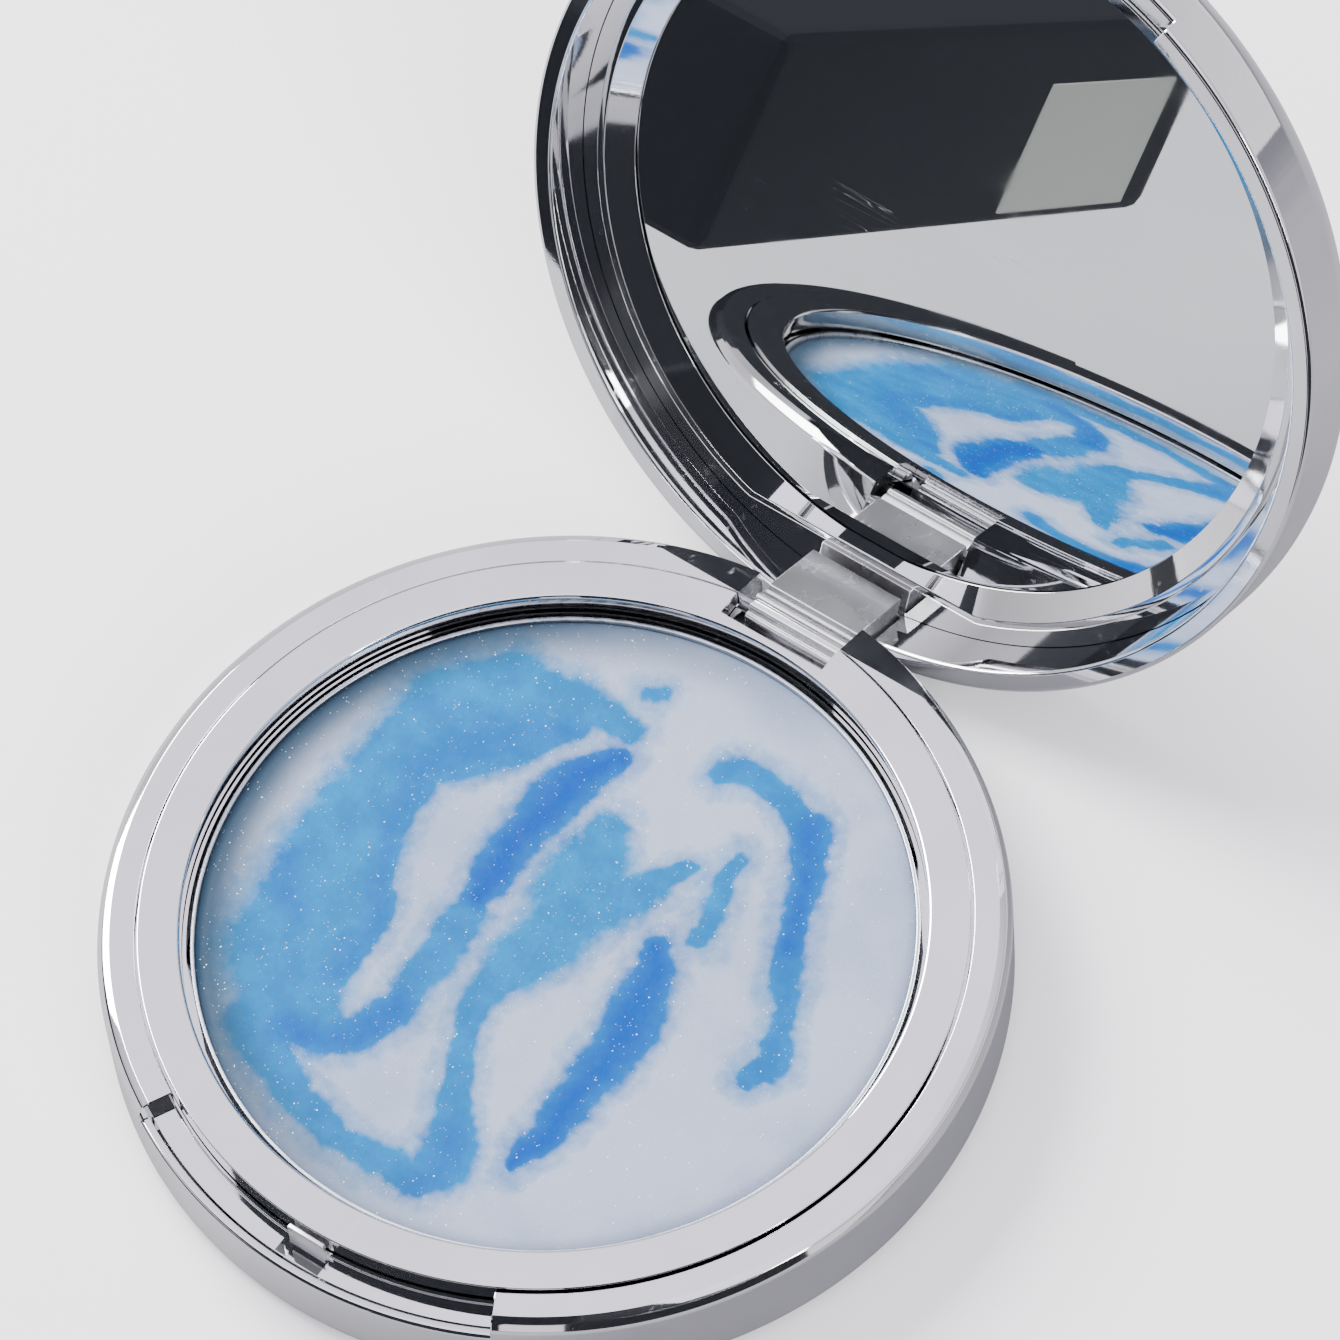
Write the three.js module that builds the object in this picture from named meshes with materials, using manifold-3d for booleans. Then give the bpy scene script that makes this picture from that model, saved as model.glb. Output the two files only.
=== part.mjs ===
// A round mirrored powder compact, open, in millimetres with +Z up.
// The origin is the centre of the flat underside. +Y points to the hinge, -Y to the thumb notch.
// The lid is modelled closed, in its own group, and that group is turned back about the hinge pin.

import * as THREE from 'three';
import { mergeVertices } from 'three/addons/utils/BufferGeometryUtils.js';
import Module from 'manifold-3d';

const wasm = await Module();
wasm.setup();

// ---- driving dimensions ----------------------------------------------------------------------

const BASE_RADIUS = 37.8;         // the widest part of the side wall
const BASE_HEIGHT = 10.0;         // underside to the top of the flat ring
const SHOULDER_DROP = 0.3;        // how far the shoulder lies below the flat ring
const SHOULDER_EDGE_RADIUS = 36.7;
const RING_OUTER_RADIUS = 34.4;   // flat ring round the pan
const RING_INNER_RADIUS = 30.85;
const RING_THICKNESS = 1.8;
const FOOT_ROUND = 2.0;           // rounding between the underside and the side wall
const EDGE_BREAK = 0.2;           // small bevel on edges that would be sharp

const PAN_RADIUS = 30.2;          // outside of the metal pan
const PAN_WALL = 0.4;
const PAN_RIM_Z = 8.0;
const PAN_FLOOR_Z = 3.4;
const PAN_CORNER = 0.5;           // bevel between the pan's floor and wall
const PAN_PAD_RADIUS = 24;
const BASE_FLOOR_Z = 2.6;
const FIT_GAP = 0.3;              // clearance between pieces that are clipped together
const GLUE_GAP = 0.1;             // clearance between stacked, glued pieces

const LID_RADIUS = 37.6;
const LID_WALL = 1.9;
const LID_DEPTH = 9.0;            // rim to the outside of the lid's back
const LID_EDGE_ROUND = 4.0;
const RIM_Z = 10.0;               // the lid's rim when the compact is closed

const BEAD_RADIUS = 33.9;         // raised bead of the mirror frame
const BEAD_WIDTH = 0.8;
const BEAD_DEPTH = 4.2;           // rim to bead
const MIRROR_RADIUS = 31.9;
const MIRROR_OPENING_RADIUS = 31.0;
const MIRROR_DEPTH = 6.0;         // rim to the face of the glass
const MIRROR_THICKNESS = 1.0;
const MIRROR_LIP = 0.25;          // upright edge of the opening, over the glass
const MIRROR_PAD_RADIUS = 25;
const FLANGE_DROP = 0.7;          // bead to the flat flange outside it
const FRAME_FLAT_Y = 31.8;        // the bead runs straight next to the hinge

const HINGE_Y = 35.4;
const HINGE_Z = 6.1;
const OPEN_ANGLE_DEG = 114;       // lid angle from closed in the rest pose
const PIN_RADIUS = 0.75;
const PIN_HALF_LENGTH = 8.0;
const PIN_CLEARANCE = 0.15;
const KNUCKLE_RADIUS = 1.9;
const RIB_RADIUS = 0.3;
const RIB_ANGLES_DEG = [198, 228, 258];
const TONGUE_HALF_WIDTH = 4.55;
const TONGUE_INNER_Y = 33.3;
const TONGUE_OUTER_Y = 37.1;
const SLOT_LEFT = -5.4;           // hinge slot in the base, wider on the left
const SLOT_RIGHT = 4.95;
const SLOT_FRONT_Y = 31.6;
const SLOT_FLOOR_Z = 2.9;

const REAR_CUT_Y = 34.2;          // the shoulder slopes away behind this line, clear of the lid
const REAR_CUT_SLOPE_DEG = 20;

const NOTCH_HALF_ANGLE_DEG = 28;  // thumb notch in the base
const NOTCH_FLOOR_Z = 7.3;
const NOTCH_BACK_RADIUS = 33.9;   // how far in under the ring's edge the notch is cut
const NOTCH_LIP = 0.3;
const NOTCH_LIP_RADIUS = 36.9;
const LID_NOTCH_HALF_ANGLE_DEG = 25;
const LID_NOTCH_DEPTH = 1.6;
const CATCH_X = 0.5;              // the catch sits just right of the middle
const CATCH_HALF_WIDTH = 1.75;
const CATCH_FRONT_Y = -35.05;
const CATCH_NOSE_BACK_Y = -34.6;
const CATCH_TAIL_BACK_Y = -33.3;
const CATCH_TAIL_THICKNESS = 1.1;
const CATCH_NOSE_DROP = 0.6;      // flat ring to the top of the catch
const HOOK_THICKNESS = 0.35;
const HOOK_WALL_GAP = 0.15;       // its flat back stays clear of the round wall
const HOOK_TIP_Z = 7.0;
const HOOK_POCKET_FRONT_Y = -36.5;
const HOOK_POCKET_DEPTH = 1.4;

const SHELL_SEGMENTS = 96;
const DISC_SEGMENTS = 72;
const PIN_SEGMENTS = 24;
const CUT_PAST = 2;               // cutters run this far past the surface they open

// ---- materials -------------------------------------------------------------------------------

function material(color, roughness, metalness) {
  return new THREE.MeshStandardMaterial({ color, roughness, metalness });
}

const chrome = material(0xd9dadd, 0.08, 1.0);
const satinChrome = material(0xc4c5c8, 0.28, 1.0);
const aluminium = material(0xb9bec4, 0.35, 1.0);
const steel = material(0xa5a8ac, 0.25, 1.0);
const mirrorGlass = material(0xf2f5f6, 0.02, 1.0);
const foam = material(0xe9e6df, 0.9, 0.0);
const jelly = material(0xb9d3e4, 0.35, 0.0);

// ---- solid helpers ---------------------------------------------------------------------------

// Drops the triangles that a profile point on the axis leaves with no area.
function withoutSlivers(index) {
  const kept = [];
  for (let i = 0; i < index.length; i += 3) {
    const [a, b, c] = [index[i], index[i + 1], index[i + 2]];
    if (a !== b && b !== c && c !== a) kept.push(a, b, c);
  }
  return new Uint32Array(kept);
}

function solidFrom(geometry) {
  const bare = geometry.clone();
  bare.deleteAttribute('normal');
  bare.deleteAttribute('uv');
  const merged = mergeVertices(bare, 1e-4);
  return new wasm.Manifold(new wasm.Mesh({
    numProp: 3,
    vertProperties: new Float32Array(merged.attributes.position.array),
    triVerts: withoutSlivers(merged.index.array),
  }));
}

function geometryFrom(solid) {
  const mesh = solid.getMesh();
  const geometry = new THREE.BufferGeometry();
  geometry.setAttribute('position', new THREE.BufferAttribute(mesh.vertProperties, 3));
  geometry.setIndex(new THREE.BufferAttribute(mesh.triVerts, 1));
  geometry.computeVertexNormals();
  return geometry;
}

function piece(name, solid, look) {
  const mesh = new THREE.Mesh(geometryFrom(solid), look);
  mesh.name = name;
  return mesh;
}

function signedArea(points) {
  return points.reduce((sum, [r, z], i) => {
    const [nextR, nextZ] = points[(i + 1) % points.length];
    return sum + (r * nextZ - nextR * z) / 2;
  }, 0);
}

// Turns a closed (radius, height) outline round the Z axis.
function turned(outline, segments = SHELL_SEGMENTS) {
  const ordered = signedArea(outline) > 0 ? outline : [...outline].reverse();
  const points = [...ordered, ordered[0]].map(([r, z]) => new THREE.Vector2(r, z));
  const geometry = new THREE.LatheGeometry(points, segments);
  geometry.rotateX(Math.PI / 2);
  return solidFrom(geometry);
}

function disc(radius, bottomZ, topZ, segments = DISC_SEGMENTS) {
  return turned([[0, bottomZ], [radius, bottomZ], [radius, topZ], [0, topZ]], segments);
}

function block([x0, x1], [y0, y1], [z0, z1]) {
  const geometry = new THREE.BoxGeometry(x1 - x0, y1 - y0, z1 - z0);
  geometry.translate((x0 + x1) / 2, (y0 + y1) / 2, (z0 + z1) / 2);
  return solidFrom(geometry);
}

// A round bar along X, centred on the given point of the YZ plane.
function barAlongX(radius, x0, x1, y, z, segments = PIN_SEGMENTS) {
  const geometry = new THREE.CylinderGeometry(radius, radius, x1 - x0, segments);
  geometry.rotateZ(Math.PI / 2);
  geometry.translate((x0 + x1) / 2, y, z);
  return solidFrom(geometry);
}

// Points of a quarter round from one angle to another, for rounding an outline's corner.
function arc(centreR, centreZ, radius, fromDeg, toDeg, steps) {
  return Array.from({ length: steps + 1 }, (_, i) => {
    const angle = THREE.MathUtils.degToRad(fromDeg + (toDeg - fromDeg) * i / steps);
    return [centreR + radius * Math.cos(angle), centreZ + radius * Math.sin(angle)];
  });
}

// A wedge with its tip on the Z axis, opening towards -Y, that bounds the thumb notch.
function frontWedge(halfAngleDeg) {
  const reach = 60;
  const halfWidth = reach * Math.tan(THREE.MathUtils.degToRad(halfAngleDeg));
  const outline = new THREE.Shape([
    new THREE.Vector2(0, 0),
    new THREE.Vector2(-halfWidth, -reach),
    new THREE.Vector2(halfWidth, -reach),
  ]);
  return solidFrom(new THREE.ExtrudeGeometry(outline, { depth: 40, bevelEnabled: false }));
}

// ---- base ------------------------------------------------------------------------------------

const SHOULDER_Z = BASE_HEIGHT - SHOULDER_DROP;
const SHOULDER_ROUND = BASE_RADIUS - SHOULDER_EDGE_RADIUS;
const SEAT_RADIUS = RING_OUTER_RADIUS + 0.2;
const SEAT_Z = BASE_HEIGHT - RING_THICKNESS - FIT_GAP;
const WELL_RADIUS = PAN_RADIUS + FIT_GAP;
const WELL_WALL = 0.9;
const OUTER_WALL_INSIDE = 33.2;
const FOOT_INSIDE = 33.3;
const PLATE_THICKNESS = 1.1;

function baseShell() {
  const shell = turned([
    [0, PLATE_THICKNESS + GLUE_GAP],
    [FOOT_INSIDE, PLATE_THICKNESS + GLUE_GAP],
    [FOOT_INSIDE, 0],
    ...arc(BASE_RADIUS - FOOT_ROUND, FOOT_ROUND, FOOT_ROUND, -90, 0, 5),
    ...arc(SHOULDER_EDGE_RADIUS, SHOULDER_Z - SHOULDER_ROUND, SHOULDER_ROUND, 0, 90, 5),
    [SEAT_RADIUS + EDGE_BREAK, SHOULDER_Z],
    [SEAT_RADIUS, SHOULDER_Z - EDGE_BREAK],
    [SEAT_RADIUS, SEAT_Z],
    [OUTER_WALL_INSIDE, SEAT_Z],
    [OUTER_WALL_INSIDE, BASE_FLOOR_Z],
    [WELL_RADIUS + WELL_WALL, BASE_FLOOR_Z],
    [WELL_RADIUS + WELL_WALL, SEAT_Z],
    [WELL_RADIUS, SEAT_Z],
    [WELL_RADIUS, BASE_FLOOR_Z],
    [0, BASE_FLOOR_Z],
  ]);
  const notchRing = turned([
    [NOTCH_BACK_RADIUS, SEAT_Z],
    [SEAT_RADIUS, SEAT_Z],
    [SEAT_RADIUS, NOTCH_FLOOR_Z],
    [NOTCH_LIP_RADIUS, NOTCH_FLOOR_Z],
    [NOTCH_LIP_RADIUS + NOTCH_LIP, NOTCH_FLOOR_Z + NOTCH_LIP],
    [BASE_RADIUS + CUT_PAST, NOTCH_FLOOR_Z + NOTCH_LIP],
    [BASE_RADIUS + CUT_PAST, BASE_HEIGHT + CUT_PAST],
    [NOTCH_BACK_RADIUS, BASE_HEIGHT + CUT_PAST],
  ]);
  const notch = notchRing.intersect(frontWedge(NOTCH_HALF_ANGLE_DEG));
  const hingeSlot = block(
    [SLOT_LEFT, SLOT_RIGHT],
    [SLOT_FRONT_Y, BASE_RADIUS + CUT_PAST],
    [SLOT_FLOOR_Z, BASE_HEIGHT + CUT_PAST]);
  const pinHole = pinBar(PIN_RADIUS + PIN_CLEARANCE, PIN_HALF_LENGTH + FIT_GAP);
  const hookPocket = block(
    acrossCatch(CATCH_HALF_WIDTH + FIT_GAP),
    [HOOK_POCKET_FRONT_Y, CATCH_FRONT_Y + GLUE_GAP],
    [NOTCH_FLOOR_Z - HOOK_POCKET_DEPTH, BASE_HEIGHT]);
  const catchPocket = block(
    acrossCatch(CATCH_HALF_WIDTH + GLUE_GAP),
    [CATCH_FRONT_Y - GLUE_GAP, CATCH_TAIL_BACK_Y + FIT_GAP],
    [SEAT_Z - CATCH_TAIL_THICKNESS - FIT_GAP, BASE_HEIGHT]);
  return shell.subtract(notch).subtract(hingeSlot).subtract(rearCutter()).subtract(pinHole)
    .subtract(hookPocket).subtract(catchPocket);
}

function acrossCatch(halfWidth) {
  return [CATCH_X - halfWidth, CATCH_X + halfWidth];
}

// The sloping cut across the back of the shoulder, on both sides of the hinge.
function rearCutter() {
  const depth = BASE_RADIUS + CUT_PAST - REAR_CUT_Y;
  const drop = depth * Math.tan(THREE.MathUtils.degToRad(REAR_CUT_SLOPE_DEG));
  const outline = new THREE.Shape([
    new THREE.Vector2(REAR_CUT_Y, SHOULDER_Z),
    new THREE.Vector2(REAR_CUT_Y + depth, SHOULDER_Z - drop),
    new THREE.Vector2(REAR_CUT_Y + depth, BASE_HEIGHT + CUT_PAST),
    new THREE.Vector2(REAR_CUT_Y, BASE_HEIGHT + CUT_PAST),
  ]);
  const geometry = new THREE.ExtrudeGeometry(
    outline, { depth: 2 * BASE_RADIUS, bevelEnabled: false });
  geometry.translate(0, 0, -BASE_RADIUS);
  geometry.applyMatrix4(new THREE.Matrix4().set(
    0, 0, 1, 0,
    1, 0, 0, 0,
    0, 1, 0, 0,
    0, 0, 0, 1));
  return solidFrom(geometry);
}

// Flat bright ring round the pan, with a clipped edge where the hinge knuckle sits.
function panRing() {
  const bottomZ = BASE_HEIGHT - RING_THICKNESS;
  const ring = turned([
    [RING_INNER_RADIUS, bottomZ],
    [RING_OUTER_RADIUS, bottomZ],
    [RING_OUTER_RADIUS, BASE_HEIGHT - EDGE_BREAK],
    [RING_OUTER_RADIUS - EDGE_BREAK, BASE_HEIGHT],
    [RING_INNER_RADIUS + EDGE_BREAK, BASE_HEIGHT],
    [RING_INNER_RADIUS, BASE_HEIGHT - EDGE_BREAK],
  ]);
  const hingeCut = block(
    [SLOT_LEFT, SLOT_RIGHT],
    [SLOT_FRONT_Y, BASE_RADIUS],
    [bottomZ - CUT_PAST, BASE_HEIGHT + CUT_PAST]);
  return ring.subtract(hingeCut);
}

function pan() {
  return turned([
    [0, PAN_FLOOR_Z],
    [PAN_RADIUS - PAN_CORNER, PAN_FLOOR_Z],
    [PAN_RADIUS, PAN_FLOOR_Z + PAN_CORNER],
    [PAN_RADIUS, PAN_RIM_Z],
    [PAN_RADIUS - PAN_WALL, PAN_RIM_Z],
    [PAN_RADIUS - PAN_WALL, PAN_FLOOR_Z + PAN_CORNER + EDGE_BREAK],
    [PAN_RADIUS - PAN_WALL - EDGE_BREAK, PAN_FLOOR_Z + PAN_WALL],
    [0, PAN_FLOOR_Z + PAN_WALL],
  ]);
}

// Set jelly with a rounded edge and a very slightly raised middle.
function highlighterFill() {
  const radius = PAN_RADIUS - PAN_WALL - GLUE_GAP;
  const floorZ = PAN_FLOOR_Z + PAN_WALL + GLUE_GAP;
  return turned([
    [0, floorZ],
    [radius - PAN_CORNER, floorZ],
    [radius, floorZ + PAN_CORNER],
    [radius, PAN_RIM_Z - 0.5],
    [radius - 0.35, PAN_RIM_Z - 0.2],
    [radius - 1.4, PAN_RIM_Z - 0.05],
    [radius / 2, PAN_RIM_Z + 0.1],
    [0, PAN_RIM_Z + 0.15],
  ]);
}

// Lug that the lid's hook snaps under, with a tail that sits below the flat ring.
function frontCatch() {
  const width = acrossCatch(CATCH_HALF_WIDTH);
  const topZ = SEAT_Z - GLUE_GAP;
  const bottomZ = topZ - CATCH_TAIL_THICKNESS;
  const tail = block(width, [CATCH_FRONT_Y, CATCH_TAIL_BACK_Y], [bottomZ, topZ]);
  const nose = block(
    width, [CATCH_FRONT_Y, CATCH_NOSE_BACK_Y], [bottomZ, BASE_HEIGHT - CATCH_NOSE_DROP]);
  return tail.add(nose);
}

// A bar on the hinge's axis: the pin itself, or the hole it turns in.
function pinBar(radius, halfLength) {
  return barAlongX(radius, -halfLength, halfLength, HINGE_Y, HINGE_Z);
}

// ---- lid, modelled closed --------------------------------------------------------------------

const LID_BACK_Z = RIM_Z + LID_DEPTH;
const LID_BACK_THICKNESS = 1.4;
const LID_INNER_RADIUS = LID_RADIUS - LID_WALL;
const LEDGE_Z = RIM_Z + MIRROR_DEPTH + 0.6;   // ledge the mirror frame is glued to
const LEDGE_RADIUS = 34.4;
const RIM_BEVEL = 0.3;
const TONGUE_TOP_Z = RIM_Z + BEAD_DEPTH;

function lidShell() {
  const cup = turned([
    [0, LID_BACK_Z - LID_BACK_THICKNESS],
    [LEDGE_RADIUS, LID_BACK_Z - LID_BACK_THICKNESS],
    [LEDGE_RADIUS, LEDGE_Z],
    [LID_INNER_RADIUS, LEDGE_Z],
    [LID_INNER_RADIUS, RIM_Z + RIM_BEVEL],
    [LID_INNER_RADIUS + RIM_BEVEL, RIM_Z],
    [LID_RADIUS - RIM_BEVEL, RIM_Z],
    [LID_RADIUS, RIM_Z + RIM_BEVEL],
    ...arc(LID_RADIUS - LID_EDGE_ROUND, LID_BACK_Z - LID_EDGE_ROUND, LID_EDGE_ROUND, 0, 90, 6),
    [0, LID_BACK_Z],
  ]);
  const notchRing = turned([
    [LID_INNER_RADIUS - CUT_PAST, RIM_Z - CUT_PAST],
    [LID_RADIUS + CUT_PAST, RIM_Z - CUT_PAST],
    [LID_RADIUS + CUT_PAST, RIM_Z + LID_NOTCH_DEPTH],
    [LID_INNER_RADIUS - CUT_PAST, RIM_Z + LID_NOTCH_DEPTH],
  ]);
  const notch = notchRing.intersect(frontWedge(LID_NOTCH_HALF_ANGLE_DEG));
  const tongueSlot = block(
    [-TONGUE_HALF_WIDTH - FIT_GAP, TONGUE_HALF_WIDTH + FIT_GAP],
    [TONGUE_INNER_Y - FIT_GAP, LID_RADIUS + CUT_PAST],
    [RIM_Z - CUT_PAST, TONGUE_TOP_Z + FIT_GAP]);
  return cup.subtract(notch).subtract(tongueSlot);
}

// Ring that holds the glass: a flat flange, a raised bead and a slope down to the mirror.
// Next to the hinge the bead leaves its circle and runs straight across.
function mirrorFrame() {
  const beadZ = RIM_Z + BEAD_DEPTH;
  const glassZ = RIM_Z + MIRROR_DEPTH;
  const flangeZ = beadZ + FLANGE_DROP;
  const ring = turned([
    [MIRROR_OPENING_RADIUS, glassZ - MIRROR_LIP],
    [BEAD_RADIUS - BEAD_WIDTH, beadZ],
    [BEAD_RADIUS - EDGE_BREAK, beadZ],
    [BEAD_RADIUS, beadZ + EDGE_BREAK],
    [BEAD_RADIUS, flangeZ],
    [LID_INNER_RADIUS - FIT_GAP, flangeZ],
    [LID_INNER_RADIUS - FIT_GAP, LEDGE_Z - GLUE_GAP],
    [MIRROR_RADIUS + FIT_GAP, LEDGE_Z - GLUE_GAP],
    [MIRROR_RADIUS + FIT_GAP, glassZ - GLUE_GAP],
    [MIRROR_OPENING_RADIUS, glassZ - GLUE_GAP],
  ]);
  const flatHalfWidth = Math.sqrt(BEAD_RADIUS ** 2 - FRAME_FLAT_Y ** 2);
  const hingeFlat = block(
    [-flatHalfWidth, flatHalfWidth], [FRAME_FLAT_Y, LID_RADIUS], [RIM_Z, flangeZ]);
  const straightBead = block(
    [-flatHalfWidth, flatHalfWidth],
    [FRAME_FLAT_Y - BEAD_WIDTH, FRAME_FLAT_Y],
    [beadZ, glassZ - GLUE_GAP]);
  const tongueCut = block(
    [-TONGUE_HALF_WIDTH - FIT_GAP, TONGUE_HALF_WIDTH + FIT_GAP],
    [TONGUE_INNER_Y - FIT_GAP, LID_RADIUS],
    [RIM_Z, TONGUE_TOP_Z + FIT_GAP]);
  return ring.subtract(hingeFlat).add(straightBead).subtract(tongueCut);
}

function mirror() {
  const faceZ = RIM_Z + MIRROR_DEPTH;
  return disc(MIRROR_RADIUS, faceZ, faceZ + MIRROR_THICKNESS);
}

function mirrorPad() {
  const backZ = RIM_Z + MIRROR_DEPTH + MIRROR_THICKNESS;
  return disc(MIRROR_PAD_RADIUS, backZ + GLUE_GAP, LID_BACK_Z - LID_BACK_THICKNESS - GLUE_GAP);
}

// Plate and ribbed barrel in one piece: it fills the slot in the lid's wall and turns on the pin.
function hingeTongue() {
  const width = [-TONGUE_HALF_WIDTH, TONGUE_HALF_WIDTH];
  const plate = block(width, [TONGUE_INNER_Y, TONGUE_OUTER_Y], [HINGE_Z, TONGUE_TOP_Z]);
  const barrel = barAlongX(KNUCKLE_RADIUS, ...width, HINGE_Y, HINGE_Z, 36);
  const ribs = RIB_ANGLES_DEG.map((angleDeg) => {
    const angle = THREE.MathUtils.degToRad(angleDeg);
    const y = HINGE_Y + KNUCKLE_RADIUS * Math.cos(angle);
    const z = HINGE_Z + KNUCKLE_RADIUS * Math.sin(angle);
    return barAlongX(RIB_RADIUS, ...width, y, z, PIN_SEGMENTS / 2);
  });
  const bore = pinBar(PIN_RADIUS + PIN_CLEARANCE, TONGUE_HALF_WIDTH + CUT_PAST);
  return ribs.reduce((body, rib) => body.add(rib), plate.add(barrel)).subtract(bore);
}

// Small hook on the inside of the lid's front wall, over the pocket in the notch floor.
function lidHook() {
  const frontY = -LID_INNER_RADIUS + HOOK_WALL_GAP;
  return block(
    acrossCatch(CATCH_HALF_WIDTH),
    [frontY, frontY + HOOK_THICKNESS],
    [HOOK_TIP_Z, RIM_Z + BEAD_DEPTH]);
}

// ---- assembly --------------------------------------------------------------------------------

const base = new THREE.Group();
base.name = 'base';
base.add(
  piece('base_shell', baseShell(), chrome),
  piece('base_plate', disc(FOOT_INSIDE - FIT_GAP, 0, PLATE_THICKNESS), satinChrome),
  piece('pan_ring', panRing(), chrome),
  piece('pan', pan(), aluminium),
  piece('pan_pad', disc(PAN_PAD_RADIUS, BASE_FLOOR_Z + GLUE_GAP, PAN_FLOOR_Z - GLUE_GAP), foam),
  piece('highlighter_fill', highlighterFill(), jelly),
  piece('front_catch', frontCatch(), satinChrome),
  piece('hinge_pin', pinBar(PIN_RADIUS, PIN_HALF_LENGTH), steel),
);

// The lid's pieces keep their closed positions inside this group, whose own origin is the pin.
const lidPieces = new THREE.Group();
lidPieces.position.set(0, -HINGE_Y, -HINGE_Z);
lidPieces.add(
  piece('lid_shell', lidShell(), chrome),
  piece('mirror_frame', mirrorFrame(), chrome),
  piece('mirror', mirror(), mirrorGlass),
  piece('mirror_pad', mirrorPad(), foam),
  piece('hinge_tongue', hingeTongue(), satinChrome),
  piece('lid_hook', lidHook(), satinChrome),
);

const lid = new THREE.Group();
lid.name = 'lid';
lid.position.set(0, HINGE_Y, HINGE_Z);
lid.rotation.x = -THREE.MathUtils.degToRad(OPEN_ANGLE_DEG);
lid.add(lidPieces);

const group = new THREE.Group();
group.name = 'powder_compact';
group.add(base, lid);

export default group;
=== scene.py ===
"""A round powder compact, open: bright plated shells, a jelly highlighter and a recessed mirror.

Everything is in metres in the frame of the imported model: the origin is the centre of the
underside, +Y points to the hinge and -Y to the thumb notch. Lengths below are in millimetres
and are scaled as each mesh is made. The lid is modelled closed and then turned about its pin.
"""

from math import cos, pi, radians, sin, sqrt, tan

import bmesh
import bpy
import numpy as np
from mathutils import Matrix, Vector, noise


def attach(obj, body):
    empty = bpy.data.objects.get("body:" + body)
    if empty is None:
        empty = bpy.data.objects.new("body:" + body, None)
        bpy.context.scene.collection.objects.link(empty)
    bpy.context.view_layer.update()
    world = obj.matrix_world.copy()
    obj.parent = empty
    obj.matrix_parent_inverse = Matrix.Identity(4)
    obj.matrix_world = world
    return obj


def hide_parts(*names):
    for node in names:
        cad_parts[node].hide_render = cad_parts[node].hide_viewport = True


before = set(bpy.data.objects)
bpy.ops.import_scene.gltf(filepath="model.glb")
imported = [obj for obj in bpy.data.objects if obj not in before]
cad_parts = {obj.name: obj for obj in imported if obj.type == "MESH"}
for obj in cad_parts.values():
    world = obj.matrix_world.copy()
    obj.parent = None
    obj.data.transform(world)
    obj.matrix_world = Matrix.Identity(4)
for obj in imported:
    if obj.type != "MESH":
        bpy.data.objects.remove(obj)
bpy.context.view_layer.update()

MM = 0.001
NOISE_SEED = 5                   # noise vectors are drawn from the clock unless this is set
noise.seed_set(NOISE_SEED)

# ---- dimensions, the same as the CAD model's ---------------------------------------------------

BASE_RADIUS = 37.8
BASE_HEIGHT = 10.0
FOOT_ROUND = 2.0
SHOULDER_Z = 9.7
SHOULDER_EDGE = 36.7
SEAT_RADIUS = 34.6               # recess that the flat ring sits in
SEAT_Z = 7.9
WALL_INSIDE = 33.2
WELL_RADIUS = 30.5               # round wall that the pan stands in
WELL_WALL = 0.9
BASE_FLOOR_Z = 2.6
FOOT_INSIDE = 33.3
PLATE_Z = 1.1
GLUE_GAP = 0.1
FIT_GAP = 0.3
EDGE_BREAK = 0.12                # small rounding on edges that would be sharp
RING_OUTER = 34.4
RING_INNER = 30.85
RING_BOTTOM_Z = 8.2
PAN_RADIUS = 30.2
PAN_WALL = 0.4
PAN_RIM_Z = 8.0
PAN_FLOOR_Z = 3.4

LID_RADIUS = 37.6
LID_INNER = 35.7
RIM_Z = 10.0
LID_BACK_Z = 19.0
LID_BACK_THICKNESS = 1.4
LID_EDGE_ROUND = 4.0
LEDGE_Z = 16.6                   # step inside the lid that the mirror frame rests on
LEDGE_RADIUS = 34.4
BEAD_Z = 14.2
BEAD_RADIUS = 33.9
BEAD_WIDTH = 0.8
FLANGE_Z = 14.9
GLASS_Z = 16.0
GLASS_RADIUS = 31.9
GLASS_OPENING = 31.0
GLASS_THICKNESS = 1.0
GLASS_LIP = 0.25                 # upright edge of the opening, over the glass
FRAME_FLAT_Y = 31.8              # the bead runs straight next to the hinge

HINGE_Y = 35.4
HINGE_Z = 6.1
OPEN_ANGLE = radians(114)
TONGUE_HALF_WIDTH = 4.55
TONGUE_INNER_Y = 33.3
TONGUE_OUTER_Y = 37.1
TONGUE_TOP_Z = 7.3               # where the flat plate meets the barrel
KNUCKLE_RADIUS = 1.9
RIB_ANGLES_DEG = (198, 228, 258)
RIB_HALF_ANGLE_DEG = 11.0
RIB_HEIGHT = 0.28

NOTCH_FLOOR_Z = 7.3
NOTCH_LIP_RADIUS = 36.95
NOTCH_LIP_Z = 7.65
BASE_NOTCH_HALF = radians(28)
LID_NOTCH_HALF = radians(25)
LID_NOTCH_DEPTH = 1.6
FRONT = -pi / 2                  # direction of -Y, where the thumb notch is

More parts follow.
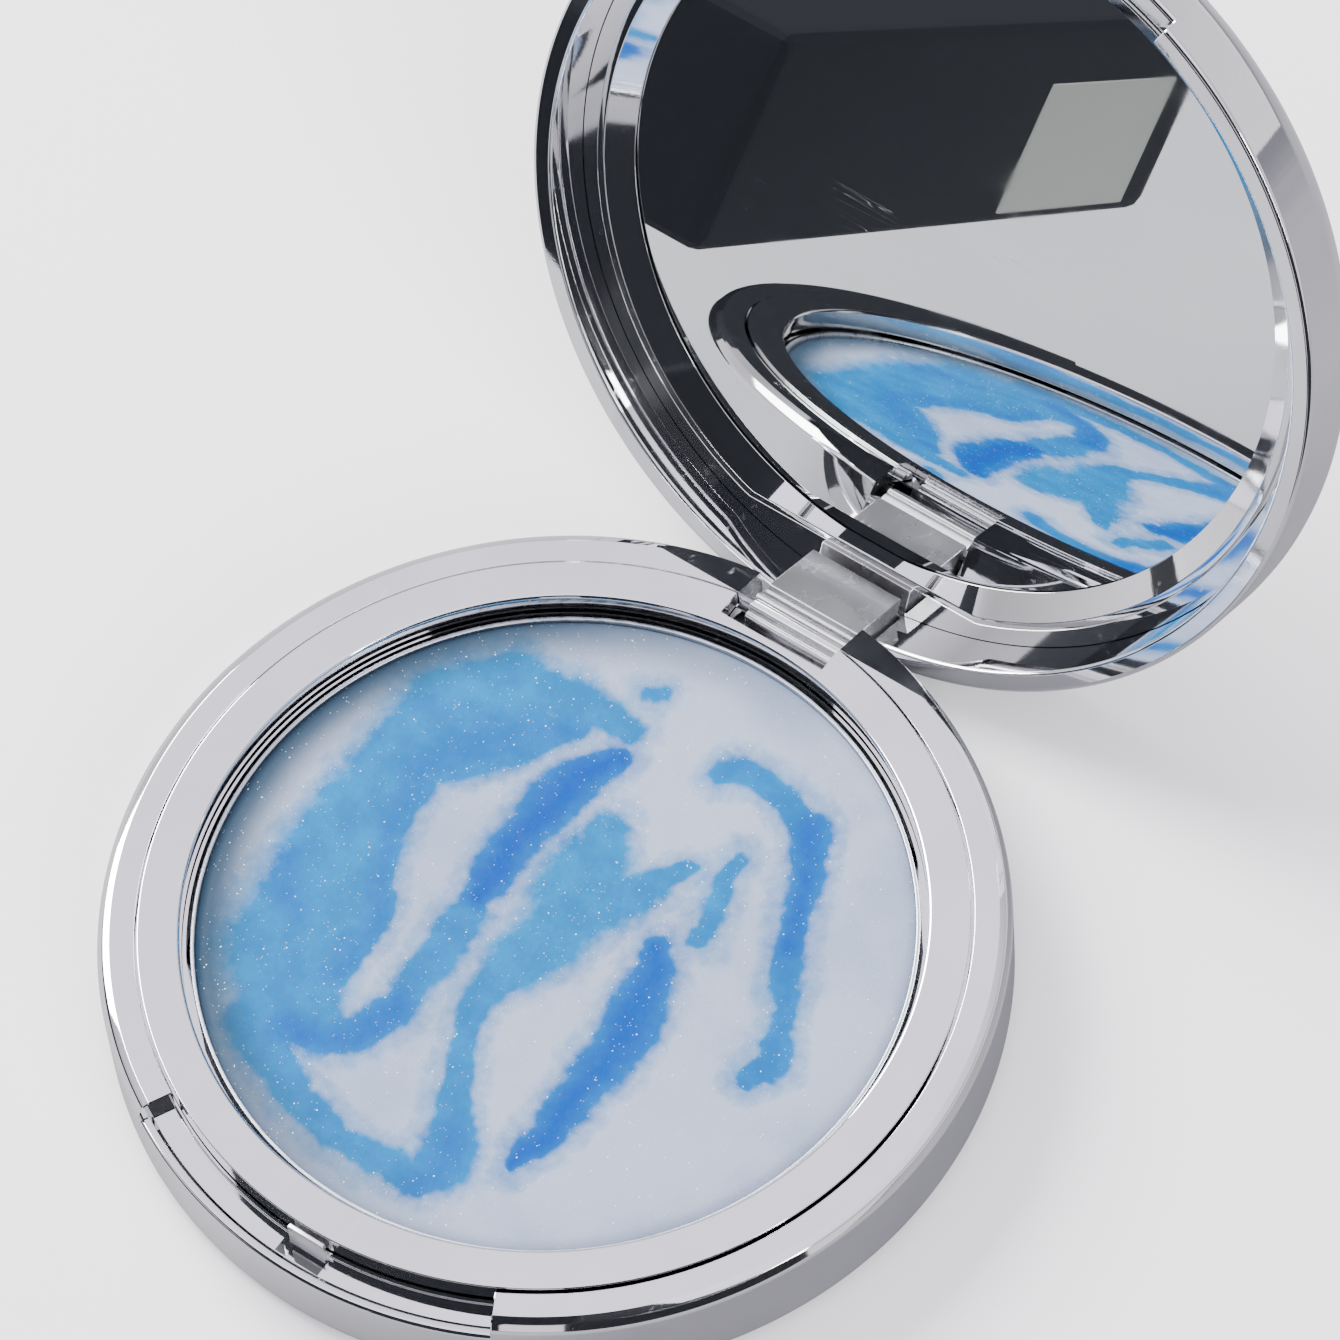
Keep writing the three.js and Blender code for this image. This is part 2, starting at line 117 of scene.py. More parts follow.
SLOT_X = (-5.4, 4.95)
SLOT_FRONT_Y = 31.6
SLOT_FLOOR_Z = 2.9
REAR_CUT_Y = 34.2                # the shoulder slopes down behind this line, clear of the lid
REAR_CUT_END_Z = 6.9
CATCH_X = 0.5                    # the catch sits just right of the middle
CATCH_HALF_WIDTH = 1.75
CATCH_FRONT_Y = -35.05
CATCH_NOSE_BACK_Y = -34.6
CATCH_NOSE_Z = 9.4
CATCH_TAIL_BACK_Y = -33.3
CATCH_TAIL_Z = (6.7, 7.8)
HOOK_GAP = 0.15
HOOK_THICKNESS = 0.35
HOOK_TIP_Z = 7.0
POCKET_FRONT_Y = -36.5           # pocket in the notch's floor that the hook dips into
POCKET_FLOOR_Z = 5.9
CUT_PAST_Y = 42                  # cutters run past the rear wall to here
CUT_PAST_Z = 14                  # and past the top of the base to here

# ---- meshes ------------------------------------------------------------------------------------


def link(name, mesh):
    piece = bpy.data.objects.new(name, mesh)
    bpy.context.scene.collection.objects.link(piece)
    return piece


def finish_shading(mesh, sharp_deg):
    """Turns faces outward and shades smooth, with creases only where faces meet at an angle."""
    work = bmesh.new()
    work.from_mesh(mesh)
    bmesh.ops.recalc_face_normals(work, faces=work.faces)
    work.to_mesh(mesh)
    work.free()
    mesh.shade_smooth()
    mesh.set_sharp_from_angle(angle=radians(sharp_deg))


def rounded(outline, steps=8):
    """Replaces each (x, z, radius) corner by an arc that meets both its sides."""
    result = []
    count = len(outline)
    for i, corner in enumerate(outline):
        here = Vector(corner[:2])
        radius = corner[2] if len(corner) > 2 else 0.0
        if radius == 0.0:
            result.append(tuple(here))
            continue
        before = (Vector(outline[i - 1][:2]) - here).normalized()
        after = (Vector(outline[(i + 1) % count][:2]) - here).normalized()
        half_angle = before.angle(after) / 2
        centre = here + (before + after).normalized() * (radius / sin(half_angle))
        start = here + before * (radius / tan(half_angle)) - centre
        sweep = start.angle_signed(here + after * (radius / tan(half_angle)) - centre)
        for k in range(steps + 1):
            arm = start.copy()
            arm.rotate(Matrix.Rotation(-sweep * k / steps, 2))
            result.append(tuple(centre + arm))
    return result


def turned(name, outline_at, angles, closed, sharp_deg=16):
    """Sweeps an outline round Z. outline_at(column) gives the same number of points each time.

    A point at radius 0 becomes a single point on the axis.
    """
    points = []
    rings = []
    poles = {}
    for column, angle in enumerate(angles):
        ring = []
        for row, (radius, height) in enumerate(outline_at(column)):
            if radius == 0:
                if row not in poles:
                    poles[row] = len(points)
                    points.append((0, 0, height * MM))
                ring.append(poles[row])
                continue
            ring.append(len(points))
            points.append((radius * cos(angle) * MM, radius * sin(angle) * MM, height * MM))
        rings.append(ring)
    rows = len(rings[0])
    faces = []
    for here, after in zip(rings, rings[1:] + rings[:1]):
        for row in range(rows if closed else rows - 1):
            up = (row + 1) % rows
            corners = [here[row], after[row], after[up], here[up]]
            face = [c for i, c in enumerate(corners) if c != corners[i - 1]]
            if len(face) > 2:
                faces.append(face)
    mesh = bpy.data.meshes.new(name)
    mesh.from_pydata(points, [], faces)
    finish_shading(mesh, sharp_deg)
    return link(name, mesh)


def even_angles(count):
    return [2 * pi * i / count for i in range(count)]


def turned_plain(name, outline, closed, count=256):
    """A body of revolution with one outline all the way round."""
    return turned(name, lambda column: outline, even_angles(count), closed)


def notch_columns(half_angle, count=256):
    """Column angles with extra ones at the notch's ends, and how deep the notch is at each.

    The depth runs 0, a little, nearly 1, 1 across each end, which leaves the end wall upright
    with softly broken edges.
    """
    soft = 0.0035
    ends = []
    for side in (-1, 1):
        edge = FRONT + side * half_angle
        for offset, depth in ((1.0, 0.0), (0.25, 0.05), (-0.25, 0.95), (-1.0, 1.0)):
            ends.append((edge + side * offset * soft, depth))
    low, high = FRONT - half_angle, FRONT + half_angle
    plain = []
    for angle in even_angles(count):
        wrapped = angle - 2 * pi if angle > pi else angle
        if min(abs(wrapped - low), abs(wrapped - high)) < 3 * soft:
            continue
        plain.append((wrapped, 1.0 if low < wrapped < high else 0.0))
    return sorted(plain + ends)


def turned_with_notch(name, full, notched, half_angle, closed):
    """A body of revolution whose outline drops to a second one inside the thumb notch."""
    columns = notch_columns(half_angle)

    def outline_at(column):
        depth = columns[column][1]
        return [
            (a[0] + (b[0] - a[0]) * depth, a[1] + (b[1] - a[1]) * depth)
            for a, b in zip(full, notched)
        ]

    return turned(name, outline_at, [angle for angle, _ in columns], closed)


def prism_along_x(name, outline, x_range, bevel=0.0, sharp_deg=16):
    """Extrudes a (y, z) outline along X, with its end edges bevelled."""
    low, high = x_range
    count = len(outline)
    points = [(x * MM, y * MM, z * MM) for x in (low, high) for y, z in outline]
    faces = [list(range(count)), list(range(2 * count - 1, count - 1, -1))]
    for i in range(count):
        j = (i + 1) % count
        faces.append([i, j, j + count, i + count])
    mesh = bpy.data.meshes.new(name)
    mesh.from_pydata(points, [], faces)
    finish_shading(mesh, sharp_deg)
    piece = link(name, mesh)
    if bevel:
        add_bevel(piece, bevel, 40)
        apply_modifiers(piece)
        finish_shading(piece.data, sharp_deg)
    return piece


def add_bevel(piece, width, angle_deg, segments=3):
    bevel = piece.modifiers.new("edge", "BEVEL")
    bevel.width = width * MM
    bevel.segments = segments
    bevel.limit_method = "ANGLE"
    bevel.angle_limit = radians(angle_deg)


def apply_modifiers(piece):
    """Replaces the piece's mesh by what its modifiers make of it."""
    depsgraph = bpy.context.evaluated_depsgraph_get()
    evaluated = piece.evaluated_get(depsgraph)
    made = bpy.data.meshes.new_from_object(evaluated)
    made.name = piece.name
    piece.modifiers.clear()
    piece.data = made


def block(name, x_range, y_range, z_range, bevel=0.0):
    outline = [
        (y_range[0], z_range[0]),
        (y_range[1], z_range[0]),
        (y_range[1], z_range[1]),
        (y_range[0], z_range[1]),
    ]
    return prism_along_x(name, outline, x_range, bevel)


def cut(piece, *cutters, sharp_deg=16):
    """Takes the cutters out of the piece and throws them away."""
    for cutter in cutters:
        boolean = piece.modifiers.new("cut", "BOOLEAN")
        boolean.operation = "DIFFERENCE"
        boolean.solver = "EXACT"
        boolean.object = cutter
    apply_modifiers(piece)
    for cutter in cutters:
        bpy.data.objects.remove(cutter)
    finish_shading(piece.data, sharp_deg)


def opened(piece):
    """Turns a piece that was modelled on the closed lid to where the open lid has it."""
    pin = Vector((0, HINGE_Y * MM, HINGE_Z * MM))
    turn = Matrix.Translation(pin) @ Matrix.Rotation(-OPEN_ANGLE, 4, "X") @ Matrix.Translation(-pin)
    piece.data.transform(turn)
    return piece


# ---- materials ---------------------------------------------------------------------------------


class Nodes:
    """A short way to build one material's node tree."""

    def __init__(self, name):
        self.material = bpy.data.materials.new(name)
        self.material.use_nodes = True
        self.tree = self.material.node_tree
        self.shader = self.tree.nodes["Principled BSDF"]
        coordinates = self.tree.nodes.new("ShaderNodeTexCoord")
        self.place = coordinates.outputs["Object"]

    def node(self, kind, **values):
        made = self.tree.nodes.new("ShaderNode" + kind)
        for key, value in values.items():
            if hasattr(made, key):
                setattr(made, key, value)
            else:
                made.inputs[key.replace("_", " ")].default_value = value
        return made

    def wire(self, output, target):
        self.tree.links.new(output, target)

    def set(self, **values):
        for key, value in values.items():
            self.shader.inputs[key.replace("_", " ")].default_value = value

    def stretched(self, scale):
        mapping = self.node("Mapping")
        mapping.inputs["Scale"].default_value = scale
        self.wire(self.place, mapping.inputs["Vector"])
        return mapping.outputs["Vector"]

    def noise(self, scale, detail=4.0, roughness=0.55, vector=None, distortion=0.0):
        made = self.node("TexNoise", Scale=scale, Detail=detail, Roughness=roughness,
                         Distortion=distortion)
        self.wire(vector or self.place, made.inputs["Vector"])
        return made.outputs["Fac"]

    def remap(self, value, low, high, to_low, to_high, smooth=True):
        made = self.node("MapRange")
        made.interpolation_type = "SMOOTHSTEP" if smooth else "LINEAR"
        for key, number in (("From Min", low), ("From Max", high),
                            ("To Min", to_low), ("To Max", to_high)):
            made.inputs[key].default_value = number
        self.wire(value, made.inputs["Value"])
        return made.outputs["Result"]

    def math(self, operation, a, b=None):
        made = self.node("Math", operation=operation)
        for socket, value in zip(made.inputs, (a, b)):
            if value is None:
                continue
            if isinstance(value, (int, float)):
                socket.default_value = value
            else:
                self.wire(value, socket)
        return made.outputs["Value"]

    def mix(self, factor, a, b):
        """Blends two colours, each given as a tuple or as another node's output."""
        made = self.node("Mix", data_type="RGBA")
        self.wire(factor, made.inputs["Factor"])
        for socket, value in ((made.inputs[6], a), (made.inputs[7], b)):
            if isinstance(value, tuple):
                socket.default_value = (*value, 1.0)
            else:
                self.wire(value, socket)
        return made.outputs[2]

    def bump(self, height, distance, strength=1.0, base=None):
        made = self.node("Bump")
        made.inputs["Strength"].default_value = strength
        made.inputs["Distance"].default_value = distance * MM
        self.wire(height, made.inputs["Height"])
        if base is not None:
            self.wire(base, made.inputs["Normal"])
        return made.outputs["Normal"]


def plated(name, tint, rough_low, rough_high, wave=0.006):
    """Electroplated plastic: bright, slightly wavy, with hazy patches and hairline marks."""
    n = Nodes(name)
    n.set(Metallic=1.0)
    haze = n.noise(90.0, 5.0)
    marks = n.noise(900.0, 3.0, 0.7, n.stretched((1.0, 0.12, 1.0)))
    worn = n.math("MULTIPLY", n.remap(marks, 0.62, 0.75, 0.0, 1.0), 0.12)
    rough = n.math("ADD", n.remap(haze, 0.3, 0.75, rough_low, rough_high), worn)
    n.wire(rough, n.shader.inputs["Roughness"])
    darker = tuple(c * 0.93 for c in tint)
    n.wire(n.mix(n.remap(haze, 0.35, 0.7, 0.0, 1.0), tint, darker), n.shader.inputs["Base Color"])
    slow = n.bump(n.noise(110.0, 1.0, 0.4), wave)
    fine = n.bump(n.noise(4200.0, 2.0, 0.6), 0.0006, 1.0, slow)
    n.wire(fine, n.shader.inputs["Normal"])
    return n.material


def bare_metal(name, tint, roughness):
    """Drawn metal with a fine grain along one direction."""
    n = Nodes(name)
    n.set(Metallic=1.0)
    grain = n.noise(2600.0, 4.0, 0.6, n.stretched((0.06, 1.0, 1.0)))
    n.wire(n.remap(grain, 0.3, 0.7, roughness - 0.06, roughness + 0.1), n.shader.inputs["Roughness"])
    n.wire(n.mix(grain, tint, tuple(c * 0.8 for c in tint)), n.shader.inputs["Base Color"])
    n.wire(n.bump(grain, 0.003), n.shader.inputs["Normal"])
    return n.material


def foam_tape():
    """Off-white foam with fine open cells."""
    n = Nodes("foam_tape")
    cells = n.noise(2400.0, 4.0, 0.7)
    n.wire(n.mix(cells, (0.82, 0.80, 0.75), (0.62, 0.60, 0.56)), n.shader.inputs["Base Color"])
    n.set(Roughness=0.95)
    n.wire(n.bump(cells, 0.08), n.shader.inputs["Normal"])
    return n.material


def silvered_glass():
    """Mirror glass with a little dust and a few hairline scratches."""
    n = Nodes("silvered_glass")
    n.set(Metallic=1.0)
    dust = n.remap(n.noise(1900.0, 3.0, 0.8), 0.72, 0.82, 0.0, 1.0)
    smear = n.remap(n.noise(60.0, 4.0, 0.6, n.stretched((1.0, 1.0, 2.2))), 0.45, 0.8, 0.0, 1.0)
    lines = n.noise(260.0, 2.0, 0.5, n.stretched((0.12, 1.0, 3.0)), 0.6)
    scratch = n.remap(n.math("ABSOLUTE", n.math("SUBTRACT", lines, 0.5)), 0.0, 0.0025, 1.0, 0.0)
    sparse = n.remap(n.noise(45.0, 2.0), 0.56, 0.62, 0.0, 1.0)
    scratch = n.math("MULTIPLY", scratch, sparse)
    rough = n.math("ADD", n.math("MULTIPLY", smear, 0.035), n.math("MULTIPLY", dust, 0.3))
    rough = n.math("ADD", rough, n.math("MULTIPLY", scratch, 0.25))
    n.wire(n.math("ADD", rough, 0.008), n.shader.inputs["Roughness"])
    n.wire(n.mix(dust, (0.90, 0.915, 0.92), (0.97, 0.97, 0.97)), n.shader.inputs["Base Color"])
    return n.material


def glitter_flakes(n, scale, share, size):
    """Where some of the flakes of one size lie, and a random value for each flake."""
    cells = n.node("TexVoronoi", Scale=scale)
    n.wire(n.place, cells.inputs["Vector"])
    parts = n.node("SeparateColor")
    n.wire(cells.outputs["Color"], parts.inputs["Color"])
    near = n.remap(cells.outputs["Distance"], size * 0.6, size, 1.0, 0.0)
    chosen = n.remap(parts.outputs["Red"], 0.99 - share, 1.0 - share, 0.0, 1.0)
    return n.math("MULTIPLY", near, chosen), parts.outputs["Green"]


def painted_rim_shade(n):
    """Painted shade in the jelly's colour, where the pan's wall would shade it: close to the edge,
    and most on the -X side.
    """
    away = n.node("VectorMath", operation="LENGTH")
    n.wire(n.place, away.inputs[0])
    axes = n.node("SeparateXYZ")
    n.wire(n.place, axes.inputs["Vector"])
    close = n.remap(away.outputs["Value"], 25.5 * MM, PAN_RADIUS * MM, 0.0, 1.0)
    side = n.remap(axes.outputs["X"], -24 * MM, 16 * MM, 0.95, 0.08)
    return n.math("MULTIPLY", close, side)


def pearl_jelly():
    """Pale frosted jelly with blue swirls from the mesh's attributes, grain, fine glitter and painted
    shade near its edge.
    """
    n = Nodes("pearl_jelly")
    blue = n.node("Attribute", attribute_name="swirl").outputs["Fac"]
    deep = n.node("Attribute", attribute_name="depth").outputs["Fac"]

    cloud = n.noise(70.0, 5.0, 0.6)
    pale = n.mix(n.remap(cloud, 0.35, 0.65, 0.0, 1.0), (0.24, 0.29, 0.40), (0.31, 0.355, 0.46))
    fibre = n.noise(620.0, 7.0, 0.75)
    ragged = n.math("MULTIPLY", n.math("SUBTRACT", fibre, 0.5), 0.75)
    cover = n.remap(n.math("ADD", blue, ragged), 0.0, 0.62, 0.0, 1.0, smooth=False)
    cover = n.math("POWER", cover, 0.75)
    cover = n.math("MULTIPLY", cover, n.remap(blue, 0.0, 0.12, 0.0, 1.0))
    worn_depth = n.math("ADD", deep, n.math("MULTIPLY", ragged, 0.7))
    tint = n.remap(worn_depth, 0.0, 1.0, 0.0, 1.0, smooth=False)
    patches = n.remap(n.noise(240.0, 5.0, 0.65), 0.38, 0.68, 0.0, 1.0)
    cyan = n.mix(patches, (0.0, 0.125, 0.30), (0.0, 0.17, 0.38))
    dye = n.mix(tint, cyan, (0.0, 0.046, 0.27))
    body = n.mix(cover, pale, dye)
    # painted shade: the colour turns dark blue-grey near the pan's wall, most on the -X side
    body = n.mix(painted_rim_shade(n), body, (0.014, 0.038, 0.065))

    large, large_tilt = glitter_flakes(n, 2600.0, 0.06, 0.20)
    small, small_tilt = glitter_flakes(n, 4600.0, 0.10, 0.28)
    glitter = n.math("MAXIMUM", large, n.math("MULTIPLY", small, 0.4))
    n.wire(n.mix(glitter, body, (0.85, 0.93, 1.0)), n.shader.inputs["Base Color"])
    n.wire(n.remap(glitter, 0.0, 1.0, 0.42, 0.2), n.shader.inputs["Roughness"])

    grain = n.bump(n.noise(3200.0, 4.0, 0.7), 0.05, 0.6)
    tilt = n.math("ADD", n.math("MULTIPLY", large, large_tilt), n.math("MULTIPLY", small, small_tilt))
    n.wire(n.bump(tilt, 0.1, 0.8, grain), n.shader.inputs["Normal"])
    n.set(Specular_IOR_Level=0.06)
    return n.material


def pale_floor():
    """The plain table under the compact."""
    n = Nodes("pale_floor")
    grain = n.noise(40.0, 5.0)
    n.wire(n.mix(grain, (0.86, 0.86, 0.87), (0.88, 0.88, 0.885)), n.shader.inputs["Base Color"])
    n.set(Roughness=0.85)
    return n.material


CHROME = plated("bright_plating", (0.93, 0.93, 0.945), 0.02, 0.07)
SATIN = plated("satin_plating", (0.90, 0.90, 0.915), 0.24, 0.34)
PAN_METAL = bare_metal("drawn_aluminium", (0.62, 0.66, 0.72), 0.3)
STEEL = bare_metal("pin_steel", (0.55, 0.55, 0.57), 0.25)
GLASS = silvered_glass()
JELLY = pearl_jelly()
FOAM = foam_tape()


def keep_flats_flat(piece):
    """Lets the large faces set the shading, so a flat reflects as a flat up to its edges."""
    weighted = piece.modifiers.new("shading", "WEIGHTED_NORMAL")
    weighted.keep_sharp = True
    apply_modifiers(piece)


def settle(piece, material, body, slot, *nodes):
    """Gives a piece its material and body, and hides the CAD nodes that it stands for."""
    keep_flats_flat(piece)
    piece.data.materials.clear()
    piece.data.materials.append(material)
    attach(piece, body)
    if nodes:
        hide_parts(*nodes)
    return piece


def recolour(node, material):
    """Gives a CAD node a better material."""
    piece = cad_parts[node]
    for slot in piece.material_slots:
        slot.material = material


# ---- base --------------------------------------------------------------------------------------


def across_catch(spare=0.0):
    """The X range of the catch, and of what fits round it."""
    half = CATCH_HALF_WIDTH + spare
    return (CATCH_X - half, CATCH_X + half)


def make_base_shell():
    """One turned moulding. The thumb notch, hinge slot, rear slope and hook pocket open it."""
    recess_z = PLATE_Z + GLUE_GAP
    below = [
        (0, recess_z), (FOOT_INSIDE, recess_z),
        (FOOT_INSIDE, 0, 0.15), (BASE_RADIUS, 0, FOOT_ROUND),
    ]
    shoulder = [
        (BASE_RADIUS, 8.7, 0.9), (BASE_RADIUS - 0.5, 9.45, 0.5),
        (SHOULDER_EDGE, SHOULDER_Z, EDGE_BREAK), (SEAT_RADIUS, SHOULDER_Z, EDGE_BREAK),
    ]
    notch = [
        (BASE_RADIUS, NOTCH_LIP_Z + 0.1, 0.35), (NOTCH_LIP_RADIUS, NOTCH_LIP_Z, EDGE_BREAK),
        (NOTCH_LIP_RADIUS - 0.3, NOTCH_FLOOR_Z, EDGE_BREAK), (SEAT_RADIUS, NOTCH_FLOOR_Z, EDGE_BREAK),
    ]
    inside = [
        (SEAT_RADIUS, SEAT_Z), (WALL_INSIDE, SEAT_Z), (WALL_INSIDE, BASE_FLOOR_Z),
        (WELL_RADIUS + WELL_WALL, BASE_FLOOR_Z), (WELL_RADIUS + WELL_WALL, SEAT_Z),
        (WELL_RADIUS, SEAT_Z), (WELL_RADIUS, BASE_FLOOR_Z), (0, BASE_FLOOR_Z),
    ]
    full = rounded(below + shoulder + inside)
    low = rounded(below + notch + inside)
    shell = turned_with_notch("base_shell_plated", full, low, BASE_NOTCH_HALF, closed=False)
    slot = block("slot", SLOT_X, (SLOT_FRONT_Y, CUT_PAST_Y), (SLOT_FLOOR_Z, CUT_PAST_Z))
    pocket_y = (POCKET_FRONT_Y, CATCH_FRONT_Y + GLUE_GAP)
    pocket = block("pocket", across_catch(0.4), pocket_y, (POCKET_FLOOR_Z, 12))
    rear = [(REAR_CUT_Y, SHOULDER_Z), (CUT_PAST_Y, REAR_CUT_END_Z),
            (CUT_PAST_Y, CUT_PAST_Z), (REAR_CUT_Y, CUT_PAST_Z)]
    slope = prism_along_x("rear", rear, (-20, 20))
    cut(shell, slot, pocket, slope)
    return settle(shell, CHROME, "base", "plated_shell", "base_shell")


def make_base_plate():
    """The underside's cover, with two shallow turned grooves and a soft edge."""
    outline = [(0, 0.0)]
    for start, end, depth in ((8.0, 9.0, 0.15), (29.0, 30.4, 0.2)):
        outline += [(start, 0.0), (start + 0.2, depth), (end - 0.2, depth), (end, 0.0)]
    edge = FOOT_INSIDE - FIT_GAP
    outline += [(edge, 0.0, 0.15), (edge, PLATE_Z), (0, PLATE_Z)]
    plate = turned_plain("base_plate_satin", rounded(outline), closed=False)
    return settle(plate, SATIN, "base", "plated_satin", "base_plate")


def make_pan_ring():
    """The flat bright ring, with a softer edge towards the pan and a gap for the hinge."""
    outline = [(RING_INNER, RING_BOTTOM_Z), (RING_OUTER, RING_BOTTOM_Z),
               (RING_OUTER, BASE_HEIGHT, EDGE_BREAK), (RING_INNER, BASE_HEIGHT, 0.3)]
    ring = turned_plain("pan_ring_plated", rounded(outline), closed=True)
    cut(ring, block("slot", SLOT_X, (SLOT_FRONT_Y, CUT_PAST_Y), (7, 12)))
    return settle(ring, CHROME, "base", "plated_shell", "pan_ring")


def make_pan():
    """A drawn cup with a round corner at its floor."""
    inner = PAN_RADIUS - PAN_WALL
    outline = [(0, PAN_FLOOR_Z), (PAN_RADIUS, PAN_FLOOR_Z, 0.6),
               (PAN_RADIUS, PAN_RIM_Z, EDGE_BREAK), (inner, PAN_RIM_Z, EDGE_BREAK),
               (inner, PAN_FLOOR_Z + PAN_WALL, 0.4), (0, PAN_FLOOR_Z + PAN_WALL)]
    piece = turned_plain("pan_drawn", rounded(outline), closed=False)
    return settle(piece, PAN_METAL, "base", "pan_metal", "pan")


# Each swirl is a chain of (x, y, half width) points in the pan, with how strongly it colours
# the jelly and how deep its blue is.
SWIRLS = [
    (0.80, 0.15, [(-6, 18.5, 1.3), (-12, 18.6, 2.3), (-17, 17.0, 3.3), (-20.3, 13, 3.6)]),
    (0.85, 0.20, [(-20.3, 13, 3.6), (-20.6, 7, 3.4), (-20.3, 0, 3.6), (-19.6, -5, 4.0),
                  (-18.6, -10, 4.6), (-17.6, -14.5, 4.9), (-14.5, -17.2, 4.2),
                  (-10.5, -18.6, 2.4)]),
    (1.00, 0.50, [(-10, 16.2, 1.2), (-13.5, 13, 2.8), (-16.5, 10, 3.3), (-17.8, 6.5, 2.3),
                  (-17.4, 3, 1.5), (-16, -1.5, 1.1), (-13.6, -6, 1.1), (-12.6, -9.5, 1.3),
                  (-12.8, -13.5, 1.7)]),
    (0.70, 0.10, [(-17.6, 1, 2.2), (-15.8, -6, 3.0), (-15, -12, 3.4)]),
    (0.55, 0.50, [(-22, -7, 1.5), (-20.4, -9.5, 1.8), (-18.8, -11, 1.2)]),
    (0.95, 0.35, [(-6.8, -2.5, 1.6), (-6.3, -8, 1.7), (-6.2, -13, 1.6)]),
    (1.00, 0.75, [(-6.2, -13, 1.5), (-7.2, -17, 1.6), (-9.5, -19.2, 1.3), (-13, -19.8, 1.0)]),
    (1.00, 1.00, [(-4.9, 16.2, 0.9), (-6.2, 12.5, 2.0), (-7.0, 9, 2.4), (-7.3, 5, 2.3),
                  (-7.0, 1.5, 1.9), (-6.9, -1, 1.4)]),
    (0.80, 0.12, [(-1.4, 10.2, 1.6), (-0.6, 6.5, 3.2), (0.2, 3, 3.9), (0.2, -0.5, 3.4),
                  (-0.8, -5, 2.6)]),
    (0.85, 0.25, [(-0.8, -5, 2.6), (-1.4, -9, 1.4), (0.2, -13, 1.1), (2.2, -17, 1.3),
                  (4.2, -20.5, 2.2)]),
    (1.00, 0.60, [(4.2, -20.5, 2.1), (5.4, -23.2, 2.3), (4.6, -25.2, 1.5)]),
    (0.80, 0.18, [(1.5, 2, 2.2), (3.4, 5.5, 2.4), (5.0, 8, 1.5), (6.4, 10.8, 0.8)]),
    (0.85, 0.28, [(4.6, -25.2, 1.5), (1, -25.8, 1.3), (-4, -25.6, 1.3), (-8, -24.8, 1.4),
                  (-12, -23, 1.7), (-16, -20.4, 2.2)]),
    (0.80, 0.20, [(8.9, 14, 0.6), (9.1, 11.5, 0.9), (10.2, 8, 1.2), (10.8, 5.5, 0.8)]),
    (1.00, 0.95, [(8.4, 3, 1.3), (9.6, -0.5, 2.2), (10.6, -4.5, 2.3), (11, -9, 2.0),
                  (10.7, -13.5, 2.0), (10.6, -17, 1.4), (10.4, -20.3, 0.6)]),
    (0.95, 0.35, [(3.2, 19.4, 1.0), (4.6, 21, 1.3), (9, 20.8, 1.3), (12.3, 19.2, 1.6)]),
    (1.00, 0.85, [(12.3, 19.2, 1.6), (14.4, 15.5, 1.5), (17.5, 9, 1.1)]),
    (0.95, 0.45, [(17.5, 9, 1.1), (20.5, 3.5, 1.1), (22.3, -0.5, 1.3), (20.9, -2.8, 0.8)]),
    (0.70, 0.20, [(-7, 22.3, 0.7), (-5.7, 23.1, 0.9)]),
]


HALO = 2.2                       # how far a swirl's pale haze reaches past its half width


def swirl_fields(points):
    """Colour strength and blueness at (x, y) points in millimetres, from the nearest swirls."""
    strength = np.zeros(len(points))
    blueness = np.zeros(len(points))
    for cover, blue, chain in SWIRLS:
        for start, end in zip(chain, chain[1:]):
            a = np.array(start[:2])
            along = np.array(end[:2]) - a
            t = np.clip((points - a) @ along / (along @ along), 0, 1)
            distance = np.linalg.norm(points - a - t[:, None] * along, axis=1)
            width = start[2] + (end[2] - start[2]) * t
            reach = np.clip(1.3 - distance / (width * 1.3), 0, 1)
            halo = np.clip(1 - distance / (width + HALO), 0, 1)
            soft = np.maximum(reach * reach * (3 - 2 * reach), 0.5 * halo)
            better = soft * cover > strength
            strength = np.where(better, soft * cover, strength)
            blueness = np.maximum(blueness, (0.35 * reach + 0.65 * halo) * blue)
    return strength, blueness


def jelly_height(x, y, radius):
    """A low dome that turns down at its edge, with shallow dimples and a fine grain."""
    r = sqrt(x * x + y * y)
    dome = PAN_RIM_Z + 0.15 - 0.2 * (r / radius) ** 2
    edge = -0.35 * max(0.0, (r - radius + 1.1) / 1.1) ** 2
    dimple = 0.035 * noise.noise(Vector((x * 0.5, y * 0.5, 1.0)))
    grain = 0.012 * noise.noise(Vector((x * 2.4, y * 2.4, 2.0)))
    return dome + edge + dimple + grain


def wander(x, y):
    """How far the swirls' pattern is pushed aside at a place, for ragged edges."""
    broad = noise.noise_vector(Vector((x * 0.28, y * 0.28, 0.0))).to_2d() * 0.75
    return broad + noise.noise_vector(Vector((x * 1.3, y * 1.3, 4.0))).to_2d() * 0.38


def round_grid_faces(columns, rings):
    """Faces of a disc, with the centre as point 0, and then one ring of points after another."""
    faces = [[0, 1 + c, 1 + (c + 1) % columns] for c in range(columns)]
    for ring in range(rings - 1):
        low = 1 + ring * columns
        for c in range(columns):
            after = (c + 1) % columns
            faces.append([low + c, low + columns + c, low + columns + after, low + after])
    return faces


